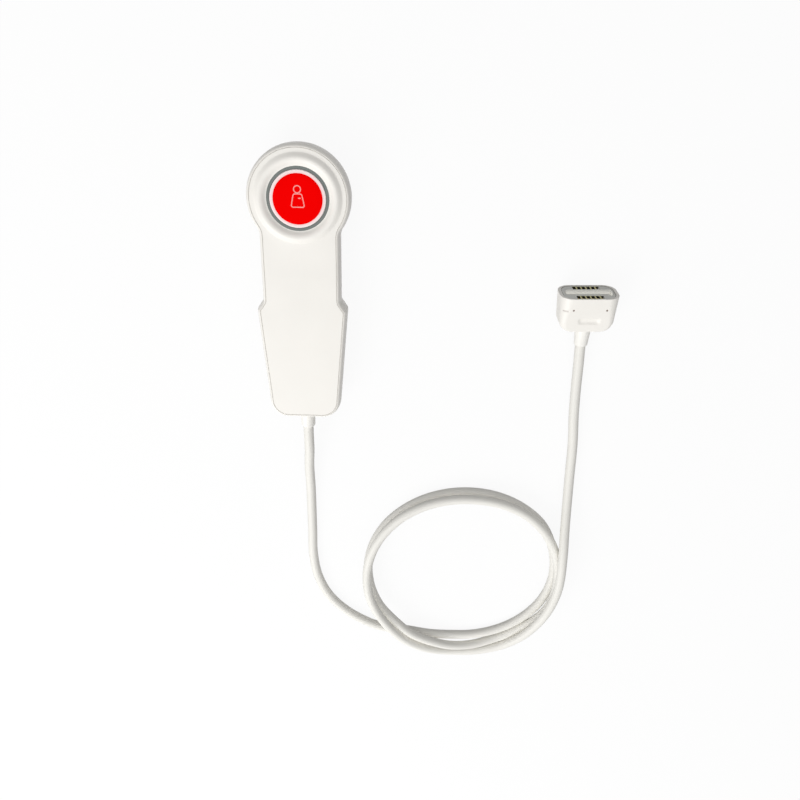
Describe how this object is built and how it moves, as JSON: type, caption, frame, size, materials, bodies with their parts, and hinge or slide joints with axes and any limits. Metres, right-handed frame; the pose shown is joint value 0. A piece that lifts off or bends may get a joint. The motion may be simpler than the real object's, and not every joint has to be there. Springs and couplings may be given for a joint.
{
  "type": "nurse call button",
  "caption": "Hand-held nurse call button: a paddle-shaped handset with a large red push button, a long cord lying in loose loops, and a wide flat contact plug.",
  "frame": {"origin": "centre of the handset's flat back, measured without the free cord and the plug", "axes": "+Y from the cord end to the round head of the handset, +Z out of its front face, +X to the right seen from the front"},
  "size_m": [0.1934, 0.3365, 0.0242],
  "materials": {
    "front_shell": "satin",
    "rear_shell": "satin",
    "gasket": "matte",
    "screws": "satin",
    "bezel_ring": "matte",
    "button_cap": "gloss",
    "button_label": "satin",
    "spring_steel": "gloss",
    "circuit_board": "satin",
    "board_chips": "matte",
    "leds": "gloss",
    "switch_base": "matte",
    "switch_plunger": "satin",
    "wire_header": "satin",
    "inner_leads": "satin",
    "cord_jacket": "satin",
    "cord_clamp": "matte",
    "relief": "satin",
    "plug_shell": "satin",
    "plug_insert": "matte",
    "plug_key": "satin",
    "contacts": "gloss"
  },
  "bodies": {
    "handset": {"front_shell": "front_shell", "rear_shell": "rear_shell", "shell_gasket": "gasket", "shell_screws": "screws", "bezel_ring": "bezel_ring", "return_spring": "spring_steel", "circuit_board": "circuit_board", "board_screws": "screws", "board_chips": "board_chips", "leds": "leds", "switch_base": "switch_base", "wire_header": "wire_header", "lead_plug": "wire_header", "inner_leads": "inner_leads", "jacket_tail": "cord_jacket", "cord_clamp": "cord_clamp", "clamp_screws": "screws", "handset_relief": "relief", "cord": "cord_jacket", "plug_shell": "plug_shell", "plug_insert": "plug_insert", "plug_key": "plug_key", "contacts_upper": "contacts", "contacts_lower": "contacts", "plug_premould": "plug_insert", "plug_relief": "relief", "plug_jacket": "cord_jacket"},
    "button": {"button_cap": "button_cap", "button_label": "button_label", "switch_plunger": "switch_plunger"}
  },
  "joints": [
    {"name": "button_press", "type": "slide", "parent": "handset", "child": "button", "axis": [0, 0, -1], "range_m": [0, 0.0012], "stiffness_N_per_m": 2500, "springref_m": -0.0004, "deforming": ["return_spring"]}
  ]
}
